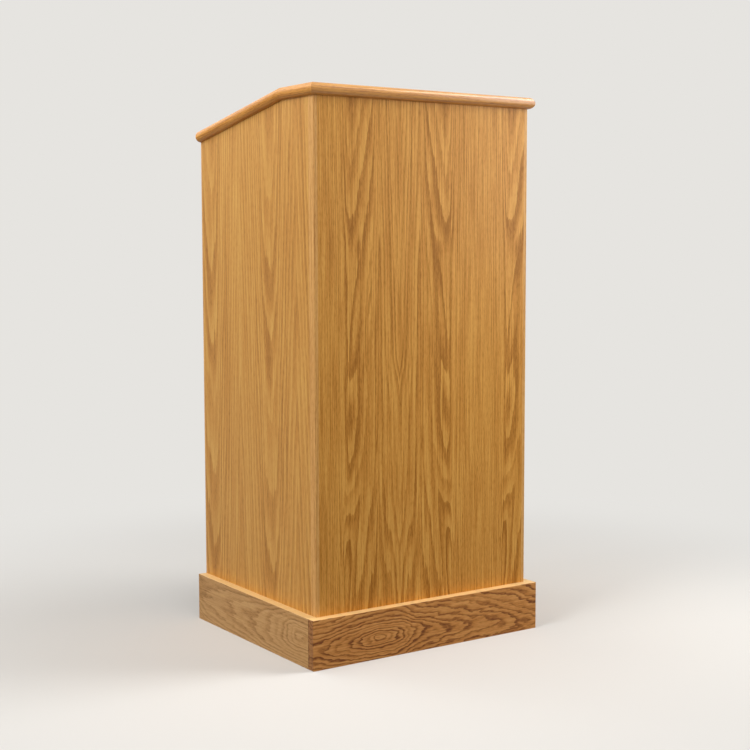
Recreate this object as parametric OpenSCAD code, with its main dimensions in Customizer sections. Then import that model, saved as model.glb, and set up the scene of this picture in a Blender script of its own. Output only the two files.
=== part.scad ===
// Floor lectern of oak-veneered board with solid oak edges, open at the back.
// The origin is on the floor under the middle of the whole lectern. The audience side faces -Y, +Z is up.

/* [Case] */
// Width across the side panels
body_w = 533; // [420:1:700]
// Depth from the front face to the open back
body_d = 470; // [400:1:620]
// Height of the case's level top edge
case_h = 1121; // [1000:1:1250]
// Thickness of the veneered boards
panel_t = 19; // [15:0.5:25]
// Width of the oak strips on the front panel's upright edges
front_lip_w = 8; // [4:0.5:10]
// Depth of the oak strips on edges at the open back
rear_lip_d = 6; // [3:0.5:12]

/* [Top] */
// Thickness of the top
deck_t = 24; // [18:0.5:32]
// Depth of the level part, from the case's front face to the bend
level_d = 118; // [100:1:200]
// Slope of the reading surface in degrees
slope = 10; // [4:0.5:20]
// Width of the half-round edge strips inside the case's faces
nose_in = 19; // [10:0.5:40]
// Depth of the oak edge at the low end of the reading panel
edge_d = 12; // [6:1:28]

/* [Book stop] */
// Height above the reading surface
stop_h = 14; // [10:1:25]
// Depth
stop_d = 16; // [12:1:30]
// Radius of its upper edges
stop_r = 5; // [1:0.5:6]
// Distance from the reading surface's low end
stop_back = 30; // [10:1:60]
// Distance of its ends from the case's side faces
stop_inset = 60; // [30:1:120]

/* [Base] */
// Height of the base boards
base_h = 101.6; // [80:0.1:150]
// Thickness of the base boards
base_t = 19; // [12:0.5:25]
// Setback of the rear kick board from the open back
kick_in = 12; // [6:1:30]

/* [Cleats] */
// Width of the cleats, measured out from the panel that they are glued to
cleat_w = 19; // [15:1:25]
// Height of the cleats under the top
top_cleat_h = 25; // [18:1:40]
// Height of the cleats under the floor
floor_cleat_h = 38; // [20:1:50]
// Width of the bevelled batten under the bend
bend_w = 60; // [40:1:70]
// Gap between the ends of neighbouring cleats
cleat_gap = 2; // [1:0.5:5]
// Distance from the low end of the top to the ends of the sloping cleats
cleat_back = 30; // [15:1:60]

/* [Shelf] */
// Thickness of the shelf
shelf_t = 19; // [15:0.5:25]
// Gap between the shelf and the case on each side
shelf_gap = 1.5; // [0.5:0.5:4]
// Gap between the shelf and the front panel
shelf_front_gap = 2; // [1:0.5:6]
// Setback of the shelf from the open back
shelf_back = 49; // [10:1:80]
// Height of the lowest shelf holes
hole_z = 496; // [400:1:560]
// Distance from one height of shelf holes to the next
hole_pitch = 32; // [25:1:50]
// Number of heights that the shelf can have
hole_rows = 5; // [3:1:8]
// Height that the shelf rests at, counted from the lowest
shelf_row = 3; // [1:1:3]

/* [Shelf pins] */
// Diameter
pin_d = 5; // [4:0.1:7]
// Depth of the pins' holes
hole_deep = 11; // [8:0.5:13]
// Play between a pin and its hole
pin_play = 0.2; // [0.1:0.05:0.4]
// Length of the pad that the shelf lies on
pad_l = 9; // [6:0.5:14]
// Width of the pad
pad_w = 11; // [8:0.5:16]
// Thickness of the pad
pad_t = 3; // [2:0.5:4]
// Height of the pad's top above the pin's centre line
pad_up = 2; // [1:0.5:3]
// Distance from the front panel to the front pins
pin_front = 64; // [40:1:120]
// Distance from the open back to the rear pins
pin_back = 100; // [96:1:160]

/* [Dowels and screws] */
// Diameter of the dowels between the front panel and the side panels
dowel_d = 6; // [5:0.5:7]
// Depth of a dowel in the front panel
dowel_front = 10; // [6:1:12]
// Depth of a dowel in the side panel
dowel_side = 20; // [12:1:30]
// Number of dowels on each side
dowel_n = 6; // [3:1:9]
// Diameter of the screws' shanks
screw_d = 4; // [3:0.5:4.5]
// Diameter of the screws' heads
head_d = 8; // [6.5:0.5:9]
// Wood left over a screw's tip
screw_cover = 7; // [4:0.5:9]
// Play around screws and dowels in their holes
play = 0.1; // [0.05:0.05:0.2]

/* [Hidden] */
$fn = 48;

oak_veneer = "#c48e50";
oak_solid = "#cf9a5c";
oak_base = "#a97744";
oak_edge = "#d8a970";
pine = "#d9b98a";
beech = "#cfa173";
zinc = "#b8bcc2";

// Places worked out from the sizes above
half_w = body_w / 2;
inner_w = body_w - 2 * panel_t;
nose_r = deck_t / 2;
rear_over = deck_t * sin(slope);
front_y = base_t - (base_t + body_d + rear_over) / 2;
rear_y = front_y + body_d;
inner_y = front_y + panel_t;
bend_y = front_y + level_d;
slope_len = (body_d - level_d) / cos(slope);
mitre_y = deck_t * tan(slope / 2);
deck_half = half_w - nose_in;
floor_under = base_h - panel_t;
kick_y = rear_y - kick_in - panel_t;
shelf_z = hole_z + (shelf_row - 1) * hole_pitch + pad_up;
shelf_w = inner_w - 2 * shelf_gap;
pin_ys = [inner_y + pin_front, rear_y - pin_back];
dowel_x = half_w - (front_lip_w + panel_t) / 2;
top_screw_l = top_cleat_h + deck_t - screw_cover;
floor_screw_l = floor_cleat_h + panel_t - screw_cover;
base_screw_l = panel_t + base_t - screw_cover;
base_screw_z = (floor_under - floor_cleat_h) / 2;
stop_screw_l = deck_t + stop_h - screw_cover;
cleat_mid = cleat_w / 2;
// Distance of the end screws and dowels from the ends of a piece
end_inset = 50;
// Number of screws across the width, through the front into its base board, and along each side
cross_n = 3;
front_n = 4;
side_n = 3;
// Glue room past each end of a dowel
glue_room = 0.5;
// How far a cutting shape runs past what it cuts
over = 5;
// Height of a screw's head, length and end radius of its tip, and the square drive in its head
head_rim = 1;
head_h = (head_d - screw_d) / 2 + head_rim;
tip_l = 5;
tip_r = 0.4;
drive_w = 2.6;
drive_deep = 2;
// Room past the end of a shelf pin in its hole
pin_room = 1;
// Thickness of the rib under a pin's pad, and its depth below the pin's centre line
pad_rib_t = 3;
pad_rib_h = 6;

// Height of the top's underside at a place along Y
function under_z(y) = y < bend_y ? case_h : case_h - (y - bend_y) * tan(slope);
// n places spread evenly from a to b, or the middle for one
function spread(n, a, b) = [for (i = [0 : n - 1]) n == 1 ? (a + b) / 2 : a + (b - a) * i / (n - 1)];
// Outline of an upright plate from y0 to y1 whose top edge follows the underside of the top
function plate(y0, y1) = concat(
    [[y0, 0], [y1, 0], [y1, under_z(y1)]],
    y0 < bend_y && y1 > bend_y ? [[bend_y, case_h]] : [],
    [[y0, under_z(y0)]]
);

// Extrudes a shape drawn in Y and Z along X, from x0 for a width w
module across(x0, w) {
    translate([x0, 0, 0]) rotate([90, 0, 90]) linear_extrude(w) children();
}

// Puts what is drawn on the slab's underside, with y along the slope, onto the slope
module on_slope() {
    translate([0, bend_y, case_h]) rotate([-slope, 0, 0]) children();
}

module block(x, y, z) {
    translate([x[0], y[0], z[0]]) cube([x[1] - x[0], y[1] - y[0], z[1] - z[0]]);
}

// A countersunk wood screw from its head's face along +Z, with extra all round where it is a hole
module screw_body(l, extra = 0) {
    r = screw_d / 2 + extra;
    cylinder(h = head_h, r1 = head_d / 2 + extra, r2 = r);
    cylinder(h = l - tip_l + extra, r = r);
    translate([0, 0, l - tip_l + extra]) cylinder(h = tip_l, r1 = r, r2 = tip_r);
}

module screw(l) {
    difference() {
        screw_body(l);
        translate([-drive_w / 2, -drive_w / 2, -over]) cube([drive_w, drive_w, drive_deep + over]);
    }
}

// The hole runs on past the head's face, into the air that the screw is driven from
module screw_hole(l) {
    screw_body(l, play);
    translate([0, 0, -over]) cylinder(h = over + head_rim / 2, r = head_d / 2 + 2 * play);
}

// Places of the screws, each a frame whose +Z runs into the wood from the head
module at_deck_screws() {
    for (x = spread(cross_n, -inner_w / 2 + end_inset, inner_w / 2 - end_inset)) {
        translate([x, inner_y + cleat_mid, case_h - top_cleat_h]) children();
        translate([x, bend_y - bend_w / 4, case_h - top_cleat_h]) children();
    }
    for (s = [-1, 1]) {
        translate([s * (inner_w / 2 - cleat_mid), side_cleat_mid, case_h - top_cleat_h]) children();
    }
}

module at_bend_screws() {
    for (x = spread(cross_n, -inner_w / 2 + end_inset, inner_w / 2 - end_inset)) {
        translate([x, bend_y + bend_w / 4, case_h - top_cleat_h]) children();
    }
}

module at_reading_screws() {
    y0 = reading_cleat_y[0] + end_inset / 2;
    y1 = reading_cleat_y[1] - end_inset / 2;
    for (s = [-1, 1], y = spread(side_n, y0, y1)) {
        on_slope() translate([s * (inner_w / 2 - cleat_mid), y, -top_cleat_h]) children();
    }
}

module at_stop_screws() {
    for (x = spread(cross_n, -half_w + stop_inset + end_inset, half_w - stop_inset - end_inset)) {
        on_slope() translate([x, slope_len - stop_back - stop_d / 2, 0]) children();
    }
}

module at_floor_screws() {
    for (x = spread(cross_n, -inner_w / 2 + end_inset, inner_w / 2 - end_inset)) {
        translate([x, inner_y + cleat_mid, floor_under - floor_cleat_h]) children();
    }
    for (s = [-1, 1], y = spread(side_n, floor_cleat_y[0] + end_inset, floor_cleat_y[1] - end_inset)) {
        translate([s * (inner_w / 2 - cleat_mid), y, floor_under - floor_cleat_h]) children();
    }
}

module at_base_screws() {
    for (x = spread(front_n, -inner_w / 2 + end_inset, inner_w / 2 - end_inset)) {
        translate([x, inner_y, base_screw_z]) rotate([90, 0, 0]) children();
    }
    for (s = [-1, 1], y = spread(side_n, inner_y + end_inset, kick_y - end_inset)) {
        translate([s * inner_w / 2, y, base_screw_z]) rotate([0, s * 90, 0]) children();
    }
}

// Ends of the cleats along Y, and along the slope for the reading cleats
side_cleat_y = [inner_y + cleat_w + cleat_gap, bend_y - bend_w / 2 - cleat_gap];
side_cleat_mid = (side_cleat_y[0] + side_cleat_y[1]) / 2;
reading_cleat_y = [
    (bend_w / 2 + top_cleat_h * sin(slope)) / cos(slope) + cleat_gap,
    slope_len - cleat_back
];
floor_cleat_y = [inner_y + cleat_w + cleat_gap, kick_y - cleat_gap];

// Dowels lie along Y across the joint between the front panel and a side panel
module at_dowels() {
    for (s = [-1, 1], z = spread(dowel_n, base_h + end_inset, case_h - end_inset)) {
        translate([s * dowel_x, inner_y, z]) children();
    }
}

// A dowel, or its hole with play all round and room past each end
module dowel(extra = 0, room = 0) {
    l = dowel_front + dowel_side + 2 * room;
    r = dowel_d / 2 + extra;
    translate([0, dowel_side + room, 0]) rotate([90, 0, 0]) cylinder(h = l, r = r);
}

// Shelf holes are bored from the side panels' inner faces, and a pin's frame points into the panel
module at_shelf_holes(s) {
    for (i = [0 : hole_rows - 1], y = pin_ys) {
        translate([s * inner_w / 2, y, hole_z + i * hole_pitch]) rotate([0, s * 90, 0]) children();
    }
}

module side_panel(s) {
    x0 = s < 0 ? -half_w : half_w - panel_t;
    color(oak_veneer) difference() {
        across(x0, panel_t) polygon(plate(inner_y, rear_y - rear_lip_d));
        at_dowels() dowel(play, glue_room);
        at_shelf_holes(s) translate([0, 0, -over]) cylinder(h = hole_deep + over, d = pin_d + pin_play);
        at_base_screws() screw_hole(base_screw_l);
    }
}

module rear_lipping(s) {
    x0 = s < 0 ? -half_w : half_w - panel_t;
    color(oak_edge) across(x0, panel_t) polygon(plate(rear_y - rear_lip_d, rear_y));
}

module front_lipping(s) {
    x0 = s < 0 ? -half_w : half_w - front_lip_w;
    color(oak_edge) block([x0, x0 + front_lip_w], [front_y, inner_y], [0, case_h]);
}

module front_panel() {
    x = half_w - front_lip_w;
    color(oak_veneer) difference() {
        block([-x, x], [front_y, inner_y], [0, case_h]);
        at_dowels() dowel(play, glue_room);
        at_base_screws() screw_hole(base_screw_l);
    }
}

module bottom_panel() {
    color(oak_veneer) difference() {
        block([-inner_w / 2, inner_w / 2], [inner_y, rear_y - rear_lip_d], [floor_under, base_h]);
        at_floor_screws() screw_hole(floor_screw_l);
    }
}

module bottom_lipping() {
    x = inner_w / 2;
    color(oak_edge) block([-x, x], [rear_y - rear_lip_d, rear_y], [floor_under, base_h]);
}

module rear_kick() {
    color(oak_veneer) block([-inner_w / 2, inner_w / 2], [kick_y, kick_y + panel_t], [0, floor_under]);
}

// The top's two slabs meet in a mitre at the bend
module deck_panel() {
    y0 = front_y + nose_in;
    outline = [[y0, case_h], [bend_y, case_h], [bend_y + mitre_y, case_h + deck_t], [y0, case_h + deck_t]];
    color(oak_veneer) difference() {
        across(-deck_half, 2 * deck_half) polygon(outline);
        at_deck_screws() screw_hole(top_screw_l);
    }
}

// The slab's end at the bend leans back by half the slope, seen in the slope's own frame
module reading_panel() {
    color(oak_veneer) difference() {
        on_slope() across(-deck_half, 2 * deck_half) polygon([
            [0, 0], [slope_len - edge_d, 0], [slope_len - edge_d, deck_t], [-mitre_y, deck_t]
        ]);
        at_bend_screws() screw_hole(top_screw_l);
        at_reading_screws() screw_hole(top_screw_l);
        at_stop_screws() screw_hole(stop_screw_l);
    }
}

module reading_edge() {
    color(oak_edge) on_slope() block([-deck_half, deck_half], [slope_len - edge_d, slope_len], [0, deck_t]);
}

// Section of the book stop, with its two upper edges rounded
module stop_section() {
    square([stop_d, stop_h - stop_r]);
    translate([stop_r, 0]) square([stop_d - 2 * stop_r, stop_h]);
    translate([stop_r, stop_h - stop_r]) circle(stop_r);
    translate([stop_d - stop_r, stop_h - stop_r]) circle(stop_r);
}

module book_stop() {
    y0 = slope_len - stop_back - stop_d;
    color(oak_solid) difference() {
        on_slope() translate([0, y0, deck_t])
            across(-half_w + stop_inset, body_w - 2 * stop_inset) stop_section();
        at_stop_screws() screw_hole(stop_screw_l);
    }
}

// Section of the edge strips: flat towards the slab, half round outside. The case's face is at 0
module nose_section() {
    square([nose_in, deck_t]);
    translate([0, nose_r]) circle(nose_r);
}

// The strips are longer bars cut to their mitres by prisms that reach past them on every other side:
// out_r and in_r are those prisms' edges, measured out and in from the case's face, and lean is how far
// the mitre at the bend moves over the extra height
out_r = nose_r + over;
in_r = nose_in + over;
lean = over * tan(slope / 2);

module bullnose_level() {
    y0 = front_y - out_r;
    color(oak_solid) intersection() {
        translate([-half_w, bend_y + mitre_y + over, case_h]) rotate([90, 0, 0])
            linear_extrude(bend_y + mitre_y + over - y0) nose_section();
        linear_extrude(2 * case_h) polygon([
            [-half_w - out_r, y0], [-half_w + in_r, front_y + in_r],
            [-half_w + in_r, rear_y], [-half_w - out_r, rear_y]
        ]);
        across(-half_w - out_r, out_r + in_r) polygon([
            [y0, case_h - over], [bend_y - lean, case_h - over],
            [bend_y + mitre_y + lean, case_h + deck_t + over], [y0, case_h + deck_t + over]
        ]);
    }
}

module bullnose_slope() {
    color(oak_solid) on_slope() intersection() {
        translate([-half_w, slope_len, 0]) rotate([90, 0, 0])
            linear_extrude(slope_len + mitre_y + over) nose_section();
        across(-half_w - out_r, out_r + in_r) polygon([
            [lean, -over], [slope_len + over, -over],
            [slope_len + over, deck_t + over], [-mitre_y - lean, deck_t + over]
        ]);
    }
}

module bullnose_front() {
    color(oak_solid) intersection() {
        translate([-half_w - out_r, front_y, case_h]) rotate([90, 0, 90])
            linear_extrude(body_w + 2 * out_r) nose_section();
        linear_extrude(2 * case_h) polygon([
            [-half_w - out_r, front_y - out_r], [half_w + out_r, front_y - out_r],
            [half_w - in_r, front_y + in_r], [-half_w + in_r, front_y + in_r]
        ]);
    }
}

module base_front() {
    x = half_w + base_t;
    color(oak_base) difference() {
        block([-x, x], [front_y - base_t, front_y], [0, base_h]);
        at_base_screws() screw_hole(base_screw_l);
    }
}

module base_side(s) {
    x0 = s < 0 ? -half_w - base_t : half_w;
    color(oak_base) difference() {
        block([x0, x0 + base_t], [front_y, rear_y], [0, base_h]);
        at_base_screws() screw_hole(base_screw_l);
    }
}

module top_cleat_front() {
    color(pine) difference() {
        block([-inner_w / 2, inner_w / 2], [inner_y, inner_y + cleat_w], [case_h - top_cleat_h, case_h]);
        at_deck_screws() screw_hole(top_screw_l);
    }
}

module top_cleat(s) {
    x0 = s < 0 ? -inner_w / 2 : inner_w / 2 - cleat_w;
    color(pine) difference() {
        block([x0, x0 + cleat_w], side_cleat_y, [case_h - top_cleat_h, case_h]);
        at_deck_screws() screw_hole(top_screw_l);
    }
}

module reading_cleat(s) {
    x0 = s < 0 ? -inner_w / 2 : inner_w / 2 - cleat_w;
    color(pine) difference() {
        on_slope() block([x0, x0 + cleat_w], reading_cleat_y, [-top_cleat_h, 0]);
        at_reading_screws() screw_hole(top_screw_l);
    }
}

// Its top is planed to the level deck on one side of the bend and to the slope on the other
module bend_batten() {
    y0 = bend_y - bend_w / 2;
    y1 = bend_y + bend_w / 2;
    z0 = case_h - top_cleat_h;
    outline = [[y0, z0], [y1, z0], [y1, under_z(y1)], [bend_y, case_h], [y0, case_h]];
    color(pine) difference() {
        across(-inner_w / 2, inner_w) polygon(outline);
        at_deck_screws() screw_hole(top_screw_l);
        at_bend_screws() screw_hole(top_screw_l);
    }
}

module bottom_cleat_front() {
    z0 = floor_under - floor_cleat_h;
    color(pine) difference() {
        block([-inner_w / 2, inner_w / 2], [inner_y, inner_y + cleat_w], [z0, floor_under]);
        at_floor_screws() screw_hole(floor_screw_l);
    }
}

module bottom_cleat(s) {
    x0 = s < 0 ? -inner_w / 2 : inner_w / 2 - cleat_w;
    color(pine) difference() {
        block([x0, x0 + cleat_w], floor_cleat_y, [floor_under - floor_cleat_h, floor_under]);
        at_floor_screws() screw_hole(floor_screw_l);
    }
}

// The shelf lies loose on its pins, and slides out over the open back
module shelf() {
    y0 = inner_y + shelf_front_gap;
    y1 = rear_y - shelf_back - rear_lip_d;
    color(oak_veneer) block([-shelf_w / 2, shelf_w / 2], [y0, y1], [shelf_z, shelf_z + shelf_t]);
}

module shelf_lipping() {
    y1 = rear_y - shelf_back;
    color(oak_edge) block([-shelf_w / 2, shelf_w / 2], [y1 - rear_lip_d, y1], [shelf_z, shelf_z + shelf_t]);
}

// A pin has a round spigot in the panel, a flat pad for the shelf and a rib under the pad
module shelf_pins() {
    color(zinc) for (s = [-1, 1], y = pin_ys) {
        translate([s * inner_w / 2, y, shelf_z - pad_up]) {
            rotate([0, s * 90, 0]) cylinder(h = hole_deep - pin_room, d = pin_d);
            x0 = s < 0 ? 0 : -pad_l;
            block([x0, x0 + pad_l], [-pad_w / 2, pad_w / 2], [pad_up - pad_t, pad_up]);
            translate([0, -pad_rib_t / 2, 0]) mirror([s < 0 ? 0 : 1, 0, 0]) rotate([90, 0, 0])
                translate([0, 0, -pad_rib_t]) linear_extrude(pad_rib_t)
                    polygon([[0, -pad_rib_h], [0, pad_up - pad_t / 2], [pad_l, pad_up - pad_t / 2]]);
        }
    }
}

module corner_dowels() {
    color(beech) at_dowels() dowel();
}

module top_screws() {
    color(zinc) {
        at_deck_screws() screw(top_screw_l);
        at_bend_screws() screw(top_screw_l);
        at_reading_screws() screw(top_screw_l);
    }
}

module bottom_screws() {
    color(zinc) at_floor_screws() screw(floor_screw_l);
}

module base_screws() {
    color(zinc) at_base_screws() screw(base_screw_l);
}

module stop_screws() {
    color(zinc) at_stop_screws() screw(stop_screw_l);
}

front_panel();
front_lipping(-1);  // front_lipping_left
front_lipping(1);  // front_lipping_right
side_panel(-1);  // side_panel_left
side_panel(1);  // side_panel_right
rear_lipping(-1);  // rear_lipping_left
rear_lipping(1);  // rear_lipping_right
bottom_panel();
bottom_lipping();
rear_kick();
deck_panel();
reading_panel();
reading_edge();
book_stop();
bullnose_front();
bullnose_level();  // bullnose_left_level
bullnose_slope();  // bullnose_left_slope
mirror([1, 0, 0]) bullnose_level();  // bullnose_right_level
mirror([1, 0, 0]) bullnose_slope();  // bullnose_right_slope
base_front();
base_side(-1);  // base_left
base_side(1);  // base_right
top_cleat_front();
top_cleat(-1);  // top_cleat_left
top_cleat(1);  // top_cleat_right
reading_cleat(-1);  // reading_cleat_left
reading_cleat(1);  // reading_cleat_right
bend_batten();
bottom_cleat_front();
bottom_cleat(-1);  // bottom_cleat_left
bottom_cleat(1);  // bottom_cleat_right
shelf();
shelf_lipping();
shelf_pins();
corner_dowels();
top_screws();
bottom_screws();
base_screws();
stop_screws();
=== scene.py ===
"""Looks for a free-standing oak floor lectern: veneered case, solid oak edges, sloping top, open back.

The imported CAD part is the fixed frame. Boards whose shape is already right keep their CAD mesh and get a
wood material; edge strips, mouldings and base boards get new meshes with eased arrises, cut to the same
mitres.
"""
import math
import bpy
import numpy as np
from mathutils import Matrix, Vector


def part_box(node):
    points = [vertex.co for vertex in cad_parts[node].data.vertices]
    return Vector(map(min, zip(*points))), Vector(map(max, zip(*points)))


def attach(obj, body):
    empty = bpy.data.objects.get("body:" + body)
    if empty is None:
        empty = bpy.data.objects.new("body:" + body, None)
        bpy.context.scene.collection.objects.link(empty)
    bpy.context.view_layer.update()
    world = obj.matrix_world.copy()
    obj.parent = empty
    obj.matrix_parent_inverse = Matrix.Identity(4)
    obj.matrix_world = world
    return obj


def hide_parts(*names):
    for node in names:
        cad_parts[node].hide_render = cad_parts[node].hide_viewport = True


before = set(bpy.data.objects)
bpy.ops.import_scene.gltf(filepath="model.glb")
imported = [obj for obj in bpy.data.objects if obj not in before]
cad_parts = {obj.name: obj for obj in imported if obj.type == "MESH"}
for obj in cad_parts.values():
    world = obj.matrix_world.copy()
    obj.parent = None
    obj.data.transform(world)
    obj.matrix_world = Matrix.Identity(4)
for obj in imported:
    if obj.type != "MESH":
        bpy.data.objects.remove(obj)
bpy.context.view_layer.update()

# Camera: it stands where the photograph's stood. Its place, turn, tilt, roll and lens were solved from
# eighteen straight edges of the case, the base boards and the top.
camera_place = (-1.69861, -2.55057, 0.83058)
camera_turn = math.radians(34.110)
camera_tilt = math.radians(-5.192)
camera_roll = math.radians(-0.105)
camera_lens = 67.574
sensor_width = 36.0
clip_end = 60.0

level_share = math.cos(camera_tilt)
ahead = Vector((math.sin(camera_turn) * level_share, math.cos(camera_turn) * level_share,
                math.sin(camera_tilt)))
level = Vector((math.cos(camera_turn), -math.sin(camera_turn), 0.0))
upright = level.cross(ahead)
right = level * math.cos(camera_roll) + upright * math.sin(camera_roll)
up = upright * math.cos(camera_roll) - level * math.sin(camera_roll)
camera = bpy.data.objects.new("camera", bpy.data.cameras.new("camera"))
camera.data.lens = camera_lens
camera.data.sensor_width = sensor_width
camera.data.clip_end = clip_end
camera.matrix_world = Matrix.Translation(camera_place) @ Matrix((right, up, -ahead)).transposed().to_4x4()
bpy.context.collection.objects.link(camera)
scene = bpy.context.scene
scene.camera = camera
scene.view_settings.view_transform = "Standard"

# Floor: a pale matt sheet, 24 m across. Near the object it shows the lamps and the shadow, and further off
# it blends, for the camera, into the background's one plain colour. It sends less light back up than it
# shows, so that the object is darker low down, as over a rough carpet.


def linear(code):
    """sRGB hex to linear light: c / 12.92 up to 0.04045, else ((c + 0.055) / 1.055) to the power 2.4."""
    parts = np.array([int(code[i:i + 2], 16) for i in (1, 3, 5)]) / 255
    parts = np.where(parts <= 0.04045, parts / 12.92, ((parts + 0.055) / 1.055) ** 2.4)
    return (*parts.tolist(), 1.0)


def plug(tree, node, inputs):
    """Fills a node's inputs: a value is set on the input's own socket, another node's output is linked."""
    for name, value in inputs.items():
        if isinstance(value, bpy.types.NodeSocket):
            tree.links.new(value, node.inputs[name])
        else:
            node.inputs[name].default_value = value


def add(tree, kind, inputs=None, points=None, stops=None, **settings):
    """Adds a node with its settings, fills its inputs, and a curve's points or a ramp's stops. The kind is
    named without the word ShaderNode. Gives the node's outputs."""
    node = tree.nodes.new("ShaderNode" + kind)
    for name, value in settings.items():
        setattr(node, name, value)
    plug(tree, node, inputs or {})
    if points:
        curve = node.mapping.curves[0]
        curve.points[0].location = points[0]
        curve.points[1].location = points[-1]
        for x, y in points[1:-1]:
            curve.points.new(x, y)
        node.mapping.update()
    if stops:
        ramp = node.color_ramp
        for at, colour in stops[1:-1]:
            ramp.elements.new(at)
        for element, (at, colour) in zip(ramp.elements, stops):
            element.position, element.color = at, colour
    return node.outputs


def new_material(name):
    """A material with nodes: gives the material, its tree and its shader."""
    material = bpy.data.materials.new(name)
    material.use_nodes = True
    return material, material.node_tree, material.node_tree.nodes["Principled BSDF"]


def looked_at(tree):
    """1 where the camera sees the surface, also in a glossy face or through glass, and 0 where the surface
    only lights other things: the greatest of the camera, glossy and transmission rays."""
    ray = add(tree, "LightPath")
    share = add(tree, "Math", {0: ray["Is Camera Ray"], 1: ray["Is Glossy Ray"]}, operation="MAXIMUM")[0]
    return add(tree, "Math", {0: share, 1: ray["Is Transmission Ray"]}, operation="MAXIMUM")[0]


backdrop_colour = linear("#e6e4e0")
floor_shown_colour = linear("#d9d6d1")
floor_lighting_colour = linear("#77746f")
floor_half = 12.0
blend_from, blend_to = 0.5, 1.7
floor_corners = [(-floor_half, -floor_half, 0), (floor_half, -floor_half, 0), (floor_half, floor_half, 0),
                 (-floor_half, floor_half, 0)]
floor_mesh = bpy.data.meshes.new("floor")
floor_mesh.from_pydata(floor_corners, [], [(0, 1, 2, 3)])
floor = bpy.data.objects.new("floor", floor_mesh)
bpy.context.collection.objects.link(floor)
# Matt emulsion paint: almost no gloss, so the lamps leave no bright spots on it
floor_paint, tree, shader = new_material("Pale matt floor paint")
shown = looked_at(tree)
paint = add(tree, "Mix", {"Factor": shown, "A": floor_lighting_colour, "B": floor_shown_colour},
            data_type="RGBA")["Result"]
plug(tree, shader, {"Base Color": paint, "Roughness": 0.9, "Specular IOR Level": 0.2})
away = add(tree, "VectorMath", {0: add(tree, "TexCoord")["Object"]}, operation="LENGTH")["Value"]
far = add(tree, "MapRange", {"Value": away, "From Min": blend_from, "From Max": blend_to},
          interpolation_type="SMOOTHERSTEP")[0]
far = add(tree, "Math", {0: far, 1: shown}, operation="MULTIPLY")[0]
plain = add(tree, "Emission", {"Color": backdrop_colour, "Strength": 1.0})[0]
both = add(tree, "MixShader", {0: far, 1: shader.outputs[0], 2: plain})[0]
plug(tree, tree.nodes["Material Output"], {"Surface": both})
floor_mesh.materials.append(floor_paint)

# Soft lamps: name, place, point aimed at, side of the square panel in metres, power in watts. Places and
# powers follow the photo's shading: both faces are brightest at the top, and the front to its right.
for name, place, aim, side, power in (
    ("high right panel", (1.7, -0.8, 2.4), (0.1, -0.2, 0.8), 1.2, 38),
    ("low right panel", (1.25, -0.9, 1.2), (0.1, -0.2, 0.7), 1.0, 12),
    ("high front panel", (-0.6, -2.3, 2.4), (0.0, -0.2, 0.7), 1.6, 18),
    ("high left panel", (-1.4, 0.9, 2.8), (-0.1, 0.0, 0.8), 1.6, 20),
    ("far left panel", (-3.6, -0.6, 3.0), (-0.2, 0.0, 0.6), 2.2, 116),
    ("rear panel", (-0.9, 2.5, 2.5), (0.0, 0.0, 0.7), 2.0, 25),
):
    lamp = bpy.data.lights.new(name, "AREA")
    lamp.size = side
    lamp.energy = power
    holder = bpy.data.objects.new(name, lamp)
    holder.location = place
    holder.rotation_euler = (Vector(aim) - Vector(place)).to_track_quat("-Z", "Y").to_euler()
    bpy.context.collection.objects.link(holder)

# Surroundings: the background shows in its own colour at a strength of 1. On the object it throws only a
# weak white light, and the lamps do the rest.
glow_strength = 0.1
scene.world = bpy.data.worlds.new("pale surroundings")
scene.world.use_nodes = True
sky = scene.world.node_tree
sky.nodes.clear()
glow = add(sky, "Background", {"Color": linear("#ffffff"), "Strength": glow_strength})[0]
backdrop = add(sky, "Background", {"Color": backdrop_colour, "Strength": 1.0})[0]
both = add(sky, "MixShader", {0: looked_at(sky), 1: glow, 2: backdrop})[0]
add(sky, "OutputWorld", {"Surface": both})

# Front panel: 19 mm board faced with oak veneer, in upright leaves 201.5 mm wide that mirror each other at
# their seams, under satin lacquer. It is dowelled and glued over the side panels' front edges.
# The wood patterns count in millimetres, and every noise has its middle at a half
metre = 1000
noise_middle = 0.5


def lay_grain(tree, turn=(0, 0, 0), shift=(0, 0, 0)):
    """Object coordinates in millimetres with the grain along Z: 1000 v turned, then shifted."""
    place = add(tree, "TexCoord")["Object"]
    return add(tree, "Mapping", {"Vector": place, "Rotation": turn, "Location": shift,
                                 "Scale": (metre, metre, metre)})[0]


def book_match(tree, place, leaf, seam=0.0, drift=5.0):
    """Folds the coordinate across the grain to and fro over one leaf's width, as turned leaves lie, and
    moves each leaf drift deeper into the log than the last, so that neighbours aren't quite the same."""
    x, y, z = add(tree, "SeparateXYZ", {0: place})
    x = add(tree, "Math", {0: x, 1: seam}, operation="SUBTRACT")[0]
    number = add(tree, "Math", {0: x, 1: leaf}, operation="DIVIDE")[0]
    number = add(tree, "Math", {0: number}, operation="FLOOR")[0]
    fold = add(tree, "Math", {0: x, 1: leaf}, operation="PINGPONG")[0]
    depth = add(tree, "Math", {0: number, 1: drift, 2: y}, operation="MULTIPLY_ADD")[0]
    return add(tree, "CombineXYZ", {0: fold, 1: depth, 2: z})[0]


def drawn_noise(tree, place, width, length, detail, roughness=0.5, shift=(0, 0, 0)):
    """Noise drawn out along the grain, its lumps about width across it and length along it."""
    place = add(tree, "Mapping", {"Vector": place, "Location": shift,
                                  "Scale": (1 / width, 1 / width, 1 / length)})[0]
    return add(tree, "TexNoise", {"Vector": place, "Scale": 1.0, "Detail": detail,
                                  "Roughness": roughness})["Fac"]


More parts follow.
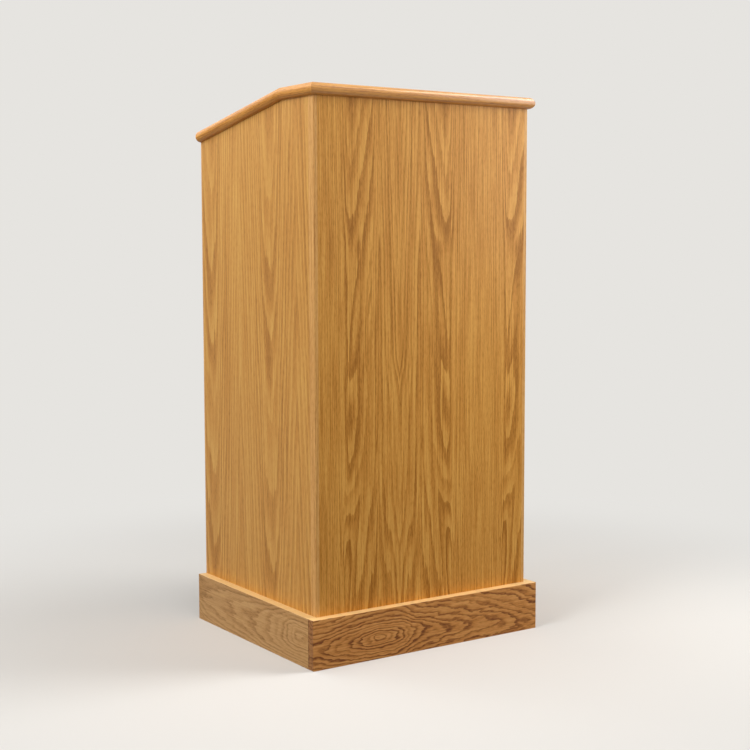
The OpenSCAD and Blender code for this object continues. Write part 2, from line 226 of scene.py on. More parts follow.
def graph(tree, value, points):
    """A smooth curve through (x, y) points: the input is scaled to 0..1 for it, and the result back."""
    xs, ys = np.array(points, float).T
    low, span = ys.min(), np.ptp(ys)
    share = add(tree, "MapRange", {"Value": value, "From Min": xs[0], "From Max": xs[-1]})[0]
    curve = add(tree, "FloatCurve", {"Value": share},
                points=[((x - xs[0]) / (xs[-1] - xs[0]), (y - low) / span) for x, y in zip(xs, ys)])[0]
    return add(tree, "Math", {0: curve, 1: span, 2: low}, operation="MULTIPLY_ADD")[0]


def swellings(tree, place, lean, spots):
    """The sum of long low humps h (1 - r)^2 (1 + 2 r) up to r = 1, where r is the length of
    ((x - x0) / w, (z - z0) / l) in a frame that leans; each spot is (x0, z0, w, l, h)."""
    total = 0.0
    for x0, z0, w, l, h in spots:
        scale, offset = (1 / w, 0, 1 / l), ((lean * z0 - x0) / w, 0, -z0 / l)
        off = add(tree, "VectorMath", {0: place, 1: scale, 2: offset}, operation="MULTIPLY_ADD")[0]
        off = add(tree, "VectorMath", {0: off}, operation="LENGTH")["Value"]
        hump = add(tree, "MapRange", {"Value": off, "To Min": h, "To Max": 0.0},
                   interpolation_type="SMOOTHSTEP")[0]
        total = add(tree, "Math", {0: hump, 1: total}, operation="ADD")[0]
    return total


def ripples(tree, place, rings, layers, detail, seed):
    """rings plus, for each layer (rings, width, length), that many rings times noise about zero drawn out
    along the grain. Each layer reads its own part of the noise, one step on from the last."""
    step_across, step_along = 7.3, 3.1
    for i, (size, width, length) in enumerate(layers):
        shift = (seed + step_across * i, seed, step_along * i)
        wave = drawn_noise(tree, place, width, length, detail, shift=shift)
        wave = add(tree, "Math", {0: wave, 1: noise_middle}, operation="SUBTRACT")[0]
        rings = add(tree, "Math", {0: wave, 1: size, 2: rings}, operation="MULTIPLY_ADD")[0]
    return rings


def ring_count(tree, place, across, loose, along, steps=(), lean=0.0, swells=(), patches=(), ripple=(),
               seed=0.0):
    """How many growth rings lie under a point: a curve across the board, plus what bends the rings: a
    curve along the board for the log's taper, long swellings, and ripples, all acting as far as the loose
    curve lets the rings wander. Steps are further curves along the board, each with its weight across it.
    Patches are where the cut runs along a porous band. Curves are (mm, rings). Gives the count, the
    looseness and the patches."""
    x, y, z = add(tree, "SeparateXYZ", {0: place})
    count, free, rise = graph(tree, x, across), graph(tree, x, loose), graph(tree, z, along)
    moved = add(tree, "Math", {0: z, 1: -lean, 2: x}, operation="MULTIPLY_ADD")[0]
    leaning = add(tree, "CombineXYZ", {0: moved, 1: y, 2: z})[0]
    rise = ripples(tree, leaning, rise, ripple, detail=1.0, seed=seed)
    rise = add(tree, "Math", {0: rise, 1: swellings(tree, leaning, lean, swells)}, operation="ADD")[0]
    count = add(tree, "Math", {0: rise, 1: free, 2: count}, operation="MULTIPLY_ADD")[0]
    for weight, curve in steps:
        count = add(tree, "Math", {0: graph(tree, x, weight), 1: graph(tree, z, curve), 2: count},
                    operation="MULTIPLY_ADD")[0]
    return count, free, swellings(tree, leaning, lean, patches)


def porous_bands(tree, place, rings, profile):
    """How dark the early wood is under a point: profile over the fraction of the ring count, times that
    ring's own strength, times a strength that grows with looseness, or a patch where that is darker. Fibre
    noise moves the count first, which frays the bands along the grain. Where the rings are held, slow
    noise over the count moves it too, which makes their widths differ. Gives the darkness and the fibre
    noise about zero."""
    fibre_width, fibre_length, fibre_sway = 3.2, 150, 0.36
    spacing_scale, spacing_sway = 0.55, 2.6
    faintest_ring = 0.4
    held_strength, loose_gain = 0.34, 0.6
    patch_fray, patch_from, patch_to, patch_depth = 0.9, 0.05, 0.85, 0.9
    count, free, patch = rings(tree, place)
    fibre = drawn_noise(tree, place, fibre_width, fibre_length, detail=3.0, roughness=0.62)
    fibre = add(tree, "Math", {0: fibre, 1: noise_middle}, operation="SUBTRACT")[0]
    count = add(tree, "Math", {0: fibre, 1: fibre_sway, 2: count}, operation="MULTIPLY_ADD")[0]
    uneven = add(tree, "TexNoise", {"W": count, "Scale": spacing_scale, "Detail": 1.0},
                 noise_dimensions="1D")["Fac"]
    uneven = add(tree, "Math", {0: uneven, 1: noise_middle}, operation="SUBTRACT")[0]
    held = add(tree, "Math", {0: free, 1: -spacing_sway, 2: spacing_sway}, operation="MULTIPLY_ADD")[0]
    count = add(tree, "Math", {0: uneven, 1: held, 2: count}, operation="MULTIPLY_ADD")[0]
    whole = add(tree, "Math", {0: count}, operation="FLOOR")[0]
    part = add(tree, "Math", {0: count}, operation="FRACT")[0]
    own = add(tree, "TexWhiteNoise", {"W": whole}, noise_dimensions="1D")["Value"]
    own = add(tree, "Math", {0: own, 1: 1 - faintest_ring, 2: faintest_ring}, operation="MULTIPLY_ADD")[0]
    early = add(tree, "Math", {0: graph(tree, part, profile), 1: own}, operation="MULTIPLY")[0]
    strength = add(tree, "Math", {0: free, 1: loose_gain, 2: held_strength}, operation="MULTIPLY_ADD")[0]
    early = add(tree, "Math", {0: early, 1: strength}, operation="MULTIPLY")[0]
    frayed = add(tree, "Math", {0: fibre, 1: patch_fray, 2: patch}, operation="MULTIPLY_ADD")[0]
    frayed = add(tree, "MapRange", {"Value": frayed, "From Min": patch_from, "From Max": patch_to,
                                    "To Max": patch_depth}, interpolation_type="SMOOTHSTEP")[0]
    return add(tree, "Math", {0: early, 1: frayed}, operation="MAXIMUM")[0], fibre


veneer_ring = ((0, 0.35), (0.08, 0.95), (0.18, 1.0), (0.36, 0.78), (0.54, 0.38), (0.72, 0.08), (0.94, 0.0),
               (1, 0.22))


def oak(name, lay, rings, palette, grain=None, contrast=0.7, tone=0.7, pores=0.6, streaks=1.7,
        roughness=0.42, coat=0.05, painted_top_light=None, profile=veneer_ring):
    """Ring-porous oak: each ring starts with a dark band of open pores and fades to smooth late wood, as
    profile says. How deep the colour is, from pale to dark in the palette, is contrast times the bands,
    plus tone times a slow wash, pores times short dashes that are densest in the bands, and streaks times
    the fibres. Real pores and fibres are finer; these are as coarse as they need to be to show. With
    grain, the direction of the fibres, faces across it show darker end grain. A colour given for the faces
    that look up is painted on them as a highlight, as if they were lit from above."""
    pore_width, pore_length, pore_from, pore_to = 1.7, 13, 0.45, 0.75
    pore_share_outside = 0.5
    wash_width, wash_length = 15, 420
    base_depth, middle_stop = 0.16, 0.45
    end_from, end_to, end_share = 0.5, 0.95, 0.55
    painted_top_light_from, painted_top_light_to, painted_top_light_share = 0.6, 0.9, 0.75
    dark_roughness = 0.12
    material, tree, shader = new_material(name)
    place = lay(tree)
    early, fibre = porous_bands(tree, place, rings, profile)
    pore = drawn_noise(tree, place, pore_width, pore_length, detail=2.0)
    pore = add(tree, "MapRange", {"Value": pore, "From Min": pore_from, "From Max": pore_to})[0]
    near = add(tree, "Math", {0: early, 1: 1 - pore_share_outside, 2: pore_share_outside},
               operation="MULTIPLY_ADD")[0]
    pore = add(tree, "Math", {0: pore, 1: near}, operation="MULTIPLY")[0]
    wash = drawn_noise(tree, place, wash_width, wash_length, detail=3.0, roughness=0.62)
    least = base_depth - noise_middle * tone
    deep = add(tree, "Math", {0: early, 1: contrast, 2: least}, operation="MULTIPLY_ADD")[0]
    deep = add(tree, "Math", {0: wash, 1: tone, 2: deep}, operation="MULTIPLY_ADD")[0]
    deep = add(tree, "Math", {0: pore, 1: pores, 2: deep}, operation="MULTIPLY_ADD")[0]
    deep = add(tree, "Math", {0: fibre, 1: streaks, 2: deep}, operation="MULTIPLY_ADD", use_clamp=True)[0]
    shades = [(at, linear(code)) for at, code in zip((0, middle_stop, 1), palette)]
    colour = add(tree, "ValToRGB", {"Fac": deep}, stops=shades)["Color"]
    if grain:
        facing = add(tree, "TexCoord")["Normal"]
        facing = add(tree, "VectorMath", {0: facing, 1: grain}, operation="DOT_PRODUCT")["Value"]
        facing = add(tree, "Math", {0: facing}, operation="ABSOLUTE")[0]
        end_grain = add(tree, "MapRange", {"Value": facing, "From Min": end_from, "From Max": end_to,
                                           "To Max": end_share})[0]
        colour = add(tree, "Mix", {"Factor": end_grain, "A": colour, "B": linear(palette[3])},
                     data_type="RGBA")["Result"]
    # Painted highlight: faces that look up get a paler colour, as if lit from above
    if painted_top_light:
        painted_top_light_mask = add(tree, "SeparateXYZ", {0: add(tree, "TexCoord")["Normal"]})["Z"]
        painted_top_light_mask = add(tree, "MapRange", {"Value": painted_top_light_mask, "From Min": painted_top_light_from, "From Max": painted_top_light_to,
                                        "To Max": painted_top_light_share})[0]
        colour = add(tree, "Mix", {"Factor": painted_top_light_mask, "A": colour, "B": linear(painted_top_light)},
                     data_type="RGBA")["Result"]
    rough = add(tree, "Math", {0: deep, 1: dark_roughness, 2: roughness}, operation="MULTIPLY_ADD")[0]
    hollow = add(tree, "Bump", {"Strength": 0.35, "Distance": 0.00012, "Height": pore}, invert=True)[0]
    plug(tree, shader, {"Base Color": colour, "Roughness": rough, "Normal": hollow,
                        "Specular IOR Level": 0.3, "Coat Weight": coat, "Coat Roughness": 0.25})
    return material


def dress(material, *names):
    """Gives CAD nodes, whose shape is right as it is, a material."""
    for name in names:
        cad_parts[name].material_slots[0].material = material


lip_low, lip_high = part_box("front_lipping_left")
case_left, case_right = lip_low.x, -lip_low.x
veneer_colours = ("#e3a74e", "#ca8933", "#9f6309")
front_leaf = 201.5
front_figure = dict(
    across=[(0, 15.4), (30, 9.4), (58, 3.8), (66, 2.0), (72, 0.8), (77, 0.25), (85, 0.0), (96, 0.25),
            (110, 0.8), (125, 1.45), (136, 2.05), (141, 2.8), (147, 4.2), (152, 5.0), (158, 4.6),
            (180, 1.6), (201.5, -0.8)],
    loose=[(0, 0.4), (56, 0.4), (68, 0.8), (80, 1.0), (128, 1.0), (140, 0.85), (152, 0.6), (201.5, 0.6)],
    along=[(0, 6.3), (150, 5.2), (300, 4.1), (395, 3.3), (490, 2.92), (620, 2.75), (800, 2.4), (915, 1.6),
           (1121, 0.0)],
    steps=[([(0, 1.0), (12, 0.9), (45, 0.0), (201.5, 0.0)], [(0, 5.0), (300, 4.4), (440, 0.6), (1121, 0.0)]),
           ([(0, 0.0), (150, 0.0), (185, 0.9), (201.5, 1.0)],
            [(0, 3.6), (170, 3.3), (300, 2.5), (520, 2.1), (640, 0.4), (1121, 0.0)])],
    lean=0.09,
    swells=[(92, 661, 15, 175, 1.0), (127, 715, 11, 145, 0.8), (104, 330, 14, 150, 0.7),
            (76, 200, 30, 260, 2.2)],
    patches=[(103, 829, 15, 44, 0.6), (111, 576, 12, 90, 0.5), (84, 494, 17, 80, 0.8), (94, 398, 9, 30, 0.3),
             (144, 431, 8, 60, 0.6), (145, 341, 8, 60, 0.6), (134, 268, 8, 70, 0.5), (134, 760, 6, 80, 0.3),
             (90, 651, 5, 40, 0.3), (94, 125, 12, 30, 0.4)],
    ripple=[(0.9, 24, 240), (0.35, 9, 90)])
# Plain-sliced oak: dark porous flames up each leaf, straight lines beside them, and a soft sheen
front_veneer = oak(
    "Oak veneer, book-matched, satin lacquer",
    lambda tree: book_match(tree, lay_grain(tree, shift=(-metre * case_left, 0, 0)), front_leaf),
    lambda tree, place: ring_count(tree, place, seed=3.0, **front_figure), veneer_colours)
dress(front_veneer, "front_panel")

# Front lippings: solid oak strips 8 mm wide glued to the front panel's upright edges and planed flush.
# Their straight grain runs upright, and only the outer front arris is eased by hand.
sharp_arris = 0.00015
sharp_end = 0.0002
eased_arris = 0.0011


def rounded(low, high, radii, steps=5):
    """A rectangle between two corners, each corner rounded: corner i gives the arc c + r (cos t, sin t)
    between the normals of its two sides. Returns the points and their outward normals, anticlockwise from
    the low one."""
    (u0, v0), (u1, v1) = low, high
    corners, radii = np.array([(u0, v0), (u1, v0), (u1, v1), (u0, v1)], float), np.array(radii, float)
    before = corners - np.roll(corners, 1, 0)
    after = np.roll(corners, -1, 0) - corners
    before /= np.linalg.norm(before, axis=1)[:, None]
    after /= np.linalg.norm(after, axis=1)[:, None]
    first = np.arctan2(-before[:, 0], before[:, 1])
    turn = np.arctan2(before[:, 0] * after[:, 1] - before[:, 1] * after[:, 0], (before * after).sum(1))
    centre = corners + (after - before) * (radii * np.tan(turn / 2) / np.sin(turn))[:, None]
    angle = first[:, None] + turn[:, None] * np.linspace(0, 1, steps)
    normal = np.stack([np.cos(angle), np.sin(angle)], -1)
    points = centre[:, None] + radii[:, None, None] * normal
    return points.reshape(-1, 2), normal.reshape(-1, 2)


def strip(name, outline, u_axis, v_axis, start, end, origin=(0, 0, 0), ease=(sharp_end, sharp_end),
          mirror=False):
    """A bar: the outline's point (u, v) is carried along w = u_axis x v_axis from the plane w = start to
    the plane w = end, each given as (w0, per u, per v). Near an end the outline draws in by e (1 - cos t)
    while it moves in by e (1 - sin t), which rounds that end's arris. mirror turns it into the right-hand
    piece."""
    points, normals = outline
    u_axis, v_axis = np.array(u_axis, float), np.array(v_axis, float)
    w_axis = np.cross(u_axis, v_axis)
    levels_per_end = 4
    rows, facing = [], []
    for plane, size, way in ((start, ease[0], 1.0), (end, ease[1], -1.0)):
        turns = np.linspace(math.pi / 2, 0, levels_per_end)[::int(way)]
        inset = size * (1 - np.cos(turns))
        drawn_in = points[None] - inset[:, None, None] * normals[None]
        w = plane[0] + plane[1] * drawn_in[..., 0] + plane[2] * drawn_in[..., 1]
        w = w + way * size * (1 - np.sin(turns))[:, None]
        rows.append(np.concatenate([drawn_in, w[..., None]], -1))
        tilt = -way * np.sin(turns)[:, None, None]
        side = np.cos(turns)[:, None, None] * normals[None]
        facing.append(np.concatenate([side, np.broadcast_to(tilt, side.shape[:2] + (1,))], -1))
    rows, facing = np.concatenate(rows), np.concatenate(facing)
    axes = np.stack([u_axis, v_axis, w_axis])
    verts = (np.array(origin) + rows @ axes).reshape(-1, 3)
    facing = (facing @ axes).reshape(-1, 3)
    count, levels = len(points), len(rows)
    column = np.arange(count)
    level = np.arange(levels - 1)[:, None] * count
    onward = np.roll(column, -1)
    quads = np.stack([level + column, level + onward, level + count + onward, level + count + column], -1)
    quads = quads.reshape(-1, 4)
    low_cap, high_cap = column[::-1], column + (levels - 1) * count
    if mirror:
        verts[:, 0] *= -1
        facing[:, 0] *= -1
        quads, low_cap, high_cap = quads[:, ::-1], low_cap[::-1], high_cap[::-1]
    mesh = bpy.data.meshes.new(name)
    mesh.from_pydata(verts.tolist(), [], quads.tolist() + [low_cap.tolist(), high_cap.tolist()])
    mesh.polygons.foreach_set("use_smooth", np.ones(len(mesh.polygons), bool))
    ends = [np.cross(verts[c[0]] - verts[c].mean(0), verts[c[count // 4]] - verts[c].mean(0))
            for c in (low_cap, high_cap)]
    ends = [np.tile(normal / np.linalg.norm(normal), (count, 1)) for normal in ends]
    mesh.normals_split_custom_set(np.concatenate([facing[quads.reshape(-1)], *ends]).tolist())
    piece = bpy.data.objects.new(name, mesh)
    bpy.context.collection.objects.link(piece)
    return piece


def fit(piece, material, slot, *replaced, body="case"):
    """Dresses a piece, hides the CAD nodes it stands for, and sets it on its body. The record slot is not
    used.
    """
    piece.data.materials.append(material)
    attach(piece, body)
    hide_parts(*replaced)


def straight_rings(pitch, depth_pitch, wobble=1.2):
    """Rings of a straight-grained strip: one every pitch millimetres across, and one every depth_pitch
    deep, plus wobble times noise drawn out along the grain. Gives the count, a low looseness and no
    patches."""
    drift_width, drift_length, looseness = 14, 190, 0.4

    def rings(tree, place):
        x, y, z = add(tree, "SeparateXYZ", {0: place})
        count = add(tree, "Math", {0: x, 1: 1 / pitch}, operation="MULTIPLY")[0]
        count = add(tree, "Math", {0: y, 1: 1 / depth_pitch, 2: count}, operation="MULTIPLY_ADD")[0]
        wave = drawn_noise(tree, place, drift_width, drift_length, detail=1.0)
        count = add(tree, "Math", {0: wave, 1: wobble, 2: count}, operation="MULTIPLY_ADD")[0]
        return count, looseness, 0.0
    return rings


x_axis, y_axis, z_axis = np.eye(3)
hands = (("left", False), ("right", True))
solid_colours = ("#e5b067", "#cd934c", "#a36a2c", "#845020")
# Solid oak cut with the rings on edge: pale, with close straight lines, and dark where end grain shows
upright_oak = oak("Solid oak lipping, satin lacquer", lay_grain, straight_rings(pitch=2.6, depth_pitch=3.4),
                  solid_colours, grain=(0, 0, 1), contrast=0.45)
lip = rounded(lip_low.xy, lip_high.xy, [eased_arris, sharp_arris, sharp_arris, sharp_arris])
for side, mirror in hands:
    piece = strip("front_edge_" + side, lip, x_axis, y_axis, (lip_low.z, 0, 0), (lip_high.z, 0, 0),
                  mirror=mirror)
    fit(piece, upright_oak, "oak_lipping", "front_lipping_" + side)

# Side panels: the same veneered board, cut level and then sloping along its top edge. Leaves 232 mm wide
# mirror at a seam, 170 mm from the rear on the left and 122 mm on the right. Ten blind holes in each inner
# face take the shelf's pins.
rear_low, rear_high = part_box("rear_lipping_left")
case_rear = rear_high.y
side_leaf = 232.0
side_drift = 14.0
side_turn = (0, 0, math.pi / 2)
side_shift = (metre * case_rear, 0, 0)
side_colours = ("#dba753", "#c68a3b", "#99611c")
side_ring = ((0, 0.5), (0.2, 1.0), (0.45, 0.75), (0.72, 0.2), (0.9, 0.05), (1, 0.25))
side_figure = dict(
    across=[(0, 11.0), (22, 9.4), (48, 6.9), (70, 4.4), (84, 2.6), (95, 1.2), (106, 0.35), (127, 0.0),
            (146, 0.3), (158, 0.9), (170, 2.2), (186, 4.0), (206, 5.8), (232, 7.6)],
    loose=[(0, 0.6), (60, 0.7), (90, 0.95), (127, 1.0), (165, 0.95), (200, 0.75), (232, 0.7)],
    along=[(0, 7.4), (240, 5.6), (420, 4.5), (590, 3.4), (746, 2.3), (930, 1.1), (1121, 0.0)],
    ripple=[(1.0, 26, 260), (0.4, 9, 90)])
# Plain-sliced oak from a calmer log: its flames, pores and streaks are fainter than the front's
for side, seam, seed in (("left", 170.0, 11.0), ("right", 122.0, 31.0)):
    side_veneer = oak(
        "Oak veneer, " + side + " side, satin lacquer",
        lambda tree: book_match(tree, lay_grain(tree, side_turn, side_shift), side_leaf, seam, side_drift),
        lambda tree, place: ring_count(tree, place, seed=seed, **side_figure), side_colours,
        contrast=0.5, tone=0.8, pores=0.45, streaks=0.9, profile=side_ring)
    dress(side_veneer, "side_panel_" + side)

# Rear lippings: solid oak strips on the side panels' edges at the open back, cut to the slope at the top,
# with both rear arrises eased.
slope = math.radians(10)
fall = math.tan(slope)
mitre = math.tan(slope / 2)
deck_low, deck_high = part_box("deck_panel")
deck_t = deck_high.z - deck_low.z
bend_y = deck_high.y - deck_t * mitre
rear_lip = rounded(rear_low.xy, rear_high.xy, [sharp_arris, sharp_arris, eased_arris, eased_arris])
rear_top = (deck_low.z + bend_y * fall, 0, -fall)
for side, mirror in hands:
    fit(strip("rear_edge_" + side, rear_lip, x_axis, y_axis, (0, 0, 0), rear_top, mirror=mirror),
        upright_oak, "oak_lipping", "rear_lipping_" + side)

# Floor of the case and the kick board under its rear edge: veneered board with the grain across the width.
# The floor has a solid oak lipping at the open back.
across_x = (0, -math.pi / 2, 0)
across_flat = (-math.pi / 2, -math.pi / 2, 0)
inside_shift = (210, 0, 300)
inside_figure = dict(
    across=[(0, 54), (90, 33), (150, 18), (210, 14.4), (280, 20), (420, 54)],
    loose=[(0, 0.2), (130, 0.5), (210, 1.0), (290, 0.5), (420, 0.2)],
    along=[(0, 7), (240, 4.2), (420, 3.5), (600, 0)],
    ripple=[(1.6, 40, 260), (0.6, 12, 110)])
# Plain-sliced oak in one wide leaf: flames run from side to side, with close lines in front and behind
inside_veneer = oak("Oak veneer, across the width, satin lacquer",
                    lambda tree: lay_grain(tree, across_flat, inside_shift),
                    lambda tree, place: ring_count(tree, place, seed=5.0, **inside_figure), veneer_colours)
dress(inside_veneer, "bottom_panel", "rear_kick", "shelf")
# Solid oak cut with the rings on edge: pale, with close lines along the edge
crosswise_oak = oak("Solid oak edging, grain across the width, satin lacquer",
                    lambda tree: lay_grain(tree, across_x), straight_rings(pitch=2.8, depth_pitch=3.2),
                    solid_colours, grain=(1, 0, 0), contrast=0.45)
low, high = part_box("bottom_lipping")
edge = rounded(low.yz, high.yz, [sharp_arris, eased_arris, eased_arris, sharp_arris])
fit(strip("floor_edge", edge, y_axis, z_axis, (low.x, 0, 0), (high.x, 0, 0)),
    crosswise_oak, "oak_lipping", "bottom_lipping")

# Loose shelf: the same board, which lies on its four pins and is fixed to nothing. Its oak lipping faces
# the open back and has eased ends, and the two slide together over the pins.
shelf_end_ease = (0.0006, 0.0006)
low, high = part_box("shelf_lipping")
edge = rounded(low.yz, high.yz, [sharp_arris, eased_arris, eased_arris, sharp_arris])
fit(strip("shelf_edge", edge, y_axis, z_axis, (low.x, 0, 0), (high.x, 0, 0), ease=shelf_end_ease),
    crosswise_oak, "oak_lipping", "shelf_lipping", body="shelf")

# The top: two veneered slabs, level in front and sloping behind, mitred where they meet and screwed up
# from the cleats. The sloping one ends in a solid oak edge, whose upper arris is eased most.
top_shift = (260, 0, 300)
# Plain-sliced oak in one wide leaf over both slabs: flames along the middle, close lines beside them
top_veneer = oak("Oak veneer of the top, across the width, satin lacquer",
                 lambda tree: lay_grain(tree, across_flat, top_shift),
                 lambda tree, place: ring_count(tree, place, seed=17.0, **inside_figure), veneer_colours)
dress(top_veneer, "deck_panel", "reading_panel")
down = np.array([0, math.cos(slope), -math.sin(slope)])
out_of = np.array([0, math.sin(slope), math.cos(slope)])
bend = np.array([0, bend_y, deck_low.z])
edge_low, edge_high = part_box("reading_edge")
slope_len = (edge_high.y - bend_y - deck_t * math.sin(slope)) / math.cos(slope)
edge_d = slope_len - (edge_low.y - bend_y) / math.cos(slope)
reader_arris = 0.0016
edge = rounded((slope_len - edge_d, 0), (slope_len, deck_t),
               [sharp_arris, eased_arris, reader_arris, sharp_arris])
fit(strip("reading_surface_edge", edge, down, out_of, (edge_low.x, 0, 0), (edge_high.x, 0, 0), bend),
    crosswise_oak, "oak_lipping", "reading_edge")

# Half-round edge strips of the top: solid oak mouldings, mitred at the front corners and at the bend,
# glued round the slabs and sanded flush above.
nose_low, nose_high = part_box("bullnose_front")
nose_r = deck_t / 2
front_y = nose_low.y + nose_r
nose_in = nose_high.y - front_y
nose_end_ease = (0.0009, sharp_end)
nose_steps = 33
turn = np.linspace(math.pi / 2, 3 * math.pi / 2, nose_steps)
half_round = np.stack([nose_r * np.cos(turn), nose_r + nose_r * np.sin(turn)], -1)
round_normals = np.stack([np.cos(turn), np.sin(turn)], -1)
inner_side = [(nose_in, 0), (nose_in, 0), (nose_in, deck_t), (nose_in, deck_t)]
inner_normals = [(0, -1), (1, 0), (1, 0), (0, 1)]
nose = (np.concatenate([half_round, inner_side]), np.concatenate([round_normals, inner_normals]))
moulding_colours = ("#e4a248", "#c58130", "#905318", "#7c4a1c")
moulding_rings = straight_rings(pitch=2.4, depth_pitch=3.0)
# Moulded solid oak, rubbed smooth: warm brown, with a thicker lacquer that shines along the front's crown
nose_across = oak("Solid oak moulding, along the front, satin lacquer",
                  lambda tree: lay_grain(tree, across_x), moulding_rings, moulding_colours,
                  grain=(1, 0, 0), contrast=0.45, coat=0.8, roughness=0.36)
nose_level = oak("Solid oak moulding, along the level sides, satin lacquer",
                 lambda tree: lay_grain(tree, (math.pi / 2, 0, 0)), moulding_rings, moulding_colours,
                 grain=(0, 1, 0), contrast=0.45, roughness=0.45)
nose_slope = oak("Solid oak moulding, along the slope, satin lacquer",
                 lambda tree: lay_grain(tree, (math.pi / 2 + slope, 0, 0)), moulding_rings, moulding_colours,
                 grain=tuple(down), contrast=0.45, roughness=0.45)
fit(strip("front_moulding", nose, y_axis, z_axis, (case_left, 1, 0), (case_right, -1, 0),
          (0, front_y, deck_low.z)), nose_across, "oak_moulding", "bullnose_front")
for side, mirror in hands:
    fit(strip("level_moulding_" + side, nose, x_axis, z_axis, (-bend_y, 0, -mitre), (-front_y, -1, 0),
              (case_left, 0, deck_low.z), mirror=mirror),
        nose_level, "oak_moulding", "bullnose_" + side + "_level")
    fit(strip("slope_moulding_" + side, nose, x_axis, out_of, (-slope_len, 0, 0), (0, 0, mitre),
              (case_left, *bend[1:]), nose_end_ease, mirror),
        nose_slope, "oak_moulding", "bullnose_" + side + "_slope")

# Book stop: a low solid oak strip across the reading surface, screwed up through the reading panel. Its
# two upper edges are rounded, and it has the front moulding's finish.
stop_low, stop_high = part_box("book_stop")
stop_d = 0.016
stop_h = 0.014
stop_back = 0.030
stop_round = 0.005
stop_end_ease = (0.0012, 0.0012)
stop = rounded((slope_len - stop_back - stop_d, deck_t), (slope_len - stop_back, deck_t + stop_h),
               [sharp_arris, sharp_arris, stop_round, stop_round], steps=9)
fit(strip("page_stop", stop, down, out_of, (stop_low.x, 0, 0), (stop_high.x, 0, 0), bend,
          stop_end_ease), nose_across, "oak_moulding", "book_stop")

# Base boards: solid oak 19 x 101.6 mm round the front and sides, screwed from inside. The front board runs
# over the ends of the side boards, so its dark end grain shows at the corners. The upper arris is eased.
foot_arris = 0.0006
base_ends_ease = (0.0008, 0.0008)
side_ends_ease = (0.0008, sharp_arris)
base_colours = ("#e2a25a", "#c5813d", "#784012", "#6a3f1a")
base_side_colours = ("#cfa065", "#bb8a50", "#90632f", "#6a3f1a")
# Paler colour painted on the base boards' upward faces as a highlight from the light above
painted_top_light_colour = "#f3cc8a"
base_ring = ((0, 0.5), (0.1, 1.0), (0.28, 0.8), (0.48, 0.25), (0.7, 0.04), (0.9, 0.08), (1, 0.5))


def eye_rings(rings, endways, sideways, middle, ripple, seed):
    """Rings round an eye, where the cut grazes them: rings times the length of (a curve along, a curve
    across), the last measured from a middle line that wanders along the board, plus ripples, which give
    the lines their ragged bends. Gives the count, a high looseness and no patches."""
    looseness = 0.9

    def count_rings(tree, place):
        x, y, z = add(tree, "SeparateXYZ", {0: place})
        x = add(tree, "Math", {0: x, 1: graph(tree, z, middle)}, operation="SUBTRACT")[0]
        off = add(tree, "CombineXYZ", {0: graph(tree, x, sideways), 2: graph(tree, z, endways)})[0]
        count = add(tree, "VectorMath", {0: off}, operation="LENGTH")["Value"]
        count = add(tree, "Math", {0: count, 1: rings}, operation="MULTIPLY")[0]
        return ripples(tree, place, count, ripple, detail=2.0, seed=seed), looseness, 0.0
    return count_rings


base_low, base_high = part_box("base_front")
base_front_rings = eye_rings(
    rings=9.5,
    endways=[(0, 0.6), (60, 0.46), (110, 0.26), (140, 0.09), (160, 0.0), (180, 0.08), (210, 0.25),
             (250, 0.56), (310, 0.74), (400, 0.9), (573, 1.1)],
    sideways=[(-100, 1.35), (-60, 0.95), (-36, 0.66), (-12, 0.2), (0, 0.0), (12, 0.2), (36, 0.66),
              (60, 1.0)],
    middle=[(0, 62), (160, 60), (300, 62), (573, 98)],
    ripple=[(2.8, 34, 85), (1.1, 8, 24)], seed=2.0)
# Solid oak sawn so that the cut grazes the rings: dark ragged ovals round an eye, and a painted
# highlight: the faces that look up are paler, as if lit from above
base_front_oak = oak(
    "Solid oak base board, front, satin lacquer",
    lambda tree: lay_grain(tree, across_x, (metre * base_high.z, 0, -metre * base_low.x)),
    base_front_rings, base_colours, grain=(1, 0, 0), contrast=0.86, tone=0.8, pores=0.5, streaks=1.2,
    painted_top_light=painted_top_light_colour, profile=base_ring)
board = rounded(base_low.yz, base_high.yz, [foot_arris, sharp_arris, sharp_arris, eased_arris])
fit(strip("front_base_board", board, y_axis, z_axis, (base_low.x, 0, 0), (base_high.x, 0, 0),
          ease=base_ends_ease), base_front_oak, "oak_base", "base_front")
low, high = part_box("base_left")
base_side_rings = eye_rings(
    rings=7.0,
    endways=[(0, 1.15), (150, 1.0), (280, 0.8), (360, 0.52), (405, 0.2), (440, 0.0), (490, 0.3)],
    sideways=[(-60, 1.2), (-25, 0.35), (0, 0.0), (25, 0.35), (60, 1.2)],
    middle=[(0, 24), (250, 50), (440, 42), (490, 42)],
    ripple=[(1.6, 30, 110), (0.7, 9, 30)], seed=8.0)
# The same, from a paler and calmer board whose eye lies near its front end
base_side_oak = oak(
    "Solid oak base board, side, satin lacquer",
    lambda tree: lay_grain(tree, (-math.pi / 2, 0, math.pi / 2), (metre * high.z, 0, metre * high.y)),
    base_side_rings, base_side_colours, grain=(0, 1, 0), contrast=0.55, tone=0.9, pores=0.5, streaks=1.0,
    painted_top_light=painted_top_light_colour, profile=base_ring)
board = rounded(low.xz, high.xz, [foot_arris, sharp_arris, sharp_arris, eased_arris])
for side, mirror in hands:
    fit(strip("side_base_board_" + side, board, x_axis, z_axis, (-high.y, 0, 0), (-low.y, 0, 0),
              ease=side_ends_ease, mirror=mirror), base_side_oak, "oak_base", "base_" + side)

# Cleats: bare planed pine battens, glued and screwed inside the case to carry the top and the floor. Wide
# soft rings of pale early wood end in thin darker lines of late wood.


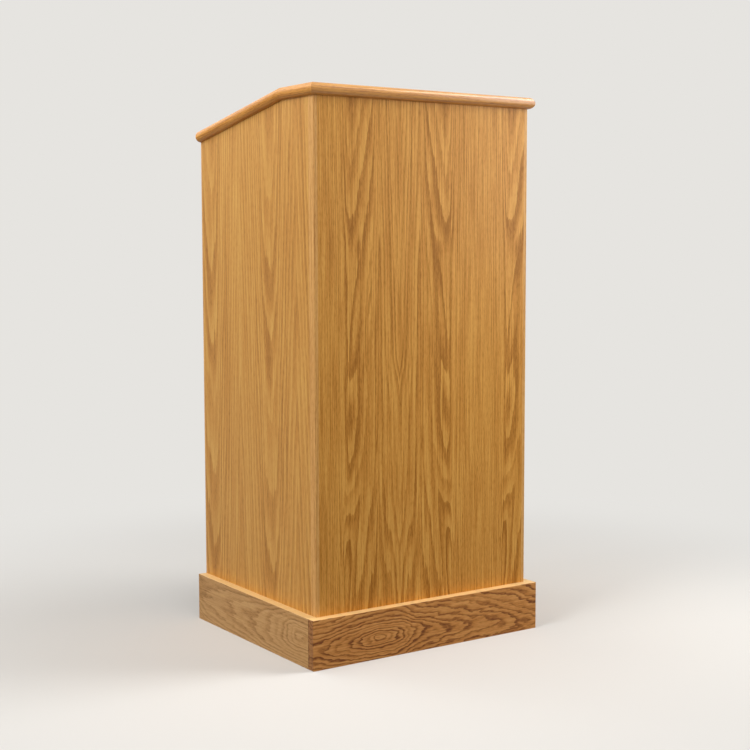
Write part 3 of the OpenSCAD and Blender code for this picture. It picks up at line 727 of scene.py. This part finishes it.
def pine(name, turn):
    """Planed pine: rings 5 mm apart that darken slowly to a thin line, with faint fibres along the grain,
    drawn coarser than real ones so that they show. The surface is dull, with fibres that stand up a
    little."""
    ring_pitch, ring_depth_pitch, ring_wobble = 5.0, 7.0, 1.8
    fibre_width, fibre_length, fibre_share = 0.8, 40, 0.3
    material, tree, shader = new_material(name)
    place = lay_grain(tree, turn)
    count = straight_rings(ring_pitch, ring_depth_pitch, ring_wobble)(tree, place)[0]
    part = add(tree, "Math", {0: count}, operation="FRACT")[0]
    late = graph(tree, part, [(0, 0.0), (0.5, 0.2), (0.8, 0.75), (0.93, 1.0), (1, 0.1)])
    fibre = drawn_noise(tree, place, fibre_width, fibre_length, detail=3.0)
    late = add(tree, "Math", {0: fibre, 1: fibre_share, 2: late}, operation="MULTIPLY_ADD")[0]
    shades = [(0, linear("#e0c592")), (0.5, linear("#d6b67e")), (1, linear("#b98549"))]
    colour = add(tree, "ValToRGB", {"Fac": late}, stops=shades)["Color"]
    ridge = add(tree, "Bump", {"Strength": 0.3, "Distance": 0.0001, "Height": fibre})[0]
    plug(tree, shader, {"Base Color": colour, "Roughness": 0.62, "Normal": ridge})
    return material


pine_across = pine("Planed pine, bare, across the width", across_x)
pine_along = pine("Planed pine, bare, front to back", (math.pi / 2, 0, 0))
dress(pine_across, "top_cleat_front", "bend_batten", "bottom_cleat_front")
dress(pine_along, "top_cleat_left", "top_cleat_right", "reading_cleat_left", "reading_cleat_right",
      "bottom_cleat_left", "bottom_cleat_right")

# Dowels: turned beech, glued into the front panel and the side panels' front edges. Beech is even and
# pinkish, with short dark flecks along the grain.
fleck_width, fleck_length = 0.5, 3
fleck_from, fleck_to = 0.5, 0.7
beech, tree, shader = new_material("Turned beech, bare")
place = lay_grain(tree, (math.pi / 2, 0, 0))
fleck = drawn_noise(tree, place, fleck_width, fleck_length, detail=2.0)
fleck = add(tree, "MapRange", {"Value": fleck, "From Min": fleck_from, "From Max": fleck_to})[0]
shades = [(0, linear("#d3a876")), (1, linear("#a9774a"))]
colour = add(tree, "ValToRGB", {"Fac": fleck}, stops=shades)["Color"]
plug(tree, shader, {"Base Color": colour, "Roughness": 0.6})
dress(beech, "corner_dowels")

# Screws and shelf pins: steel turned or cold headed and then zinc plated in a barrel, which leaves a
# bright grey-blue skin with faint cloudy patches and fine scuffs.
cloud_scale = 450.0
bright_roughness, cloud_roughness = 0.18, 0.25
zinc, tree, shader = new_material("Bright zinc-plated steel")
place = add(tree, "TexCoord")["Object"]
cloud = add(tree, "TexNoise", {"Vector": place, "Scale": cloud_scale, "Detail": 4.0})["Fac"]
shades = [(0.3, linear("#9fa4ab")), (0.7, linear("#ccd0d4"))]
colour = add(tree, "ValToRGB", {"Fac": cloud}, stops=shades)["Color"]
rough = add(tree, "Math", {0: cloud, 1: cloud_roughness, 2: bright_roughness}, operation="MULTIPLY_ADD")[0]
scuff = add(tree, "Bump", {"Strength": 0.2, "Distance": 0.00005, "Height": cloud})[0]
plug(tree, shader, {"Base Color": colour, "Roughness": rough, "Metallic": 1.0, "Normal": scuff})
dress(zinc, "shelf_pins", "top_screws", "bottom_screws", "base_screws", "stop_screws")
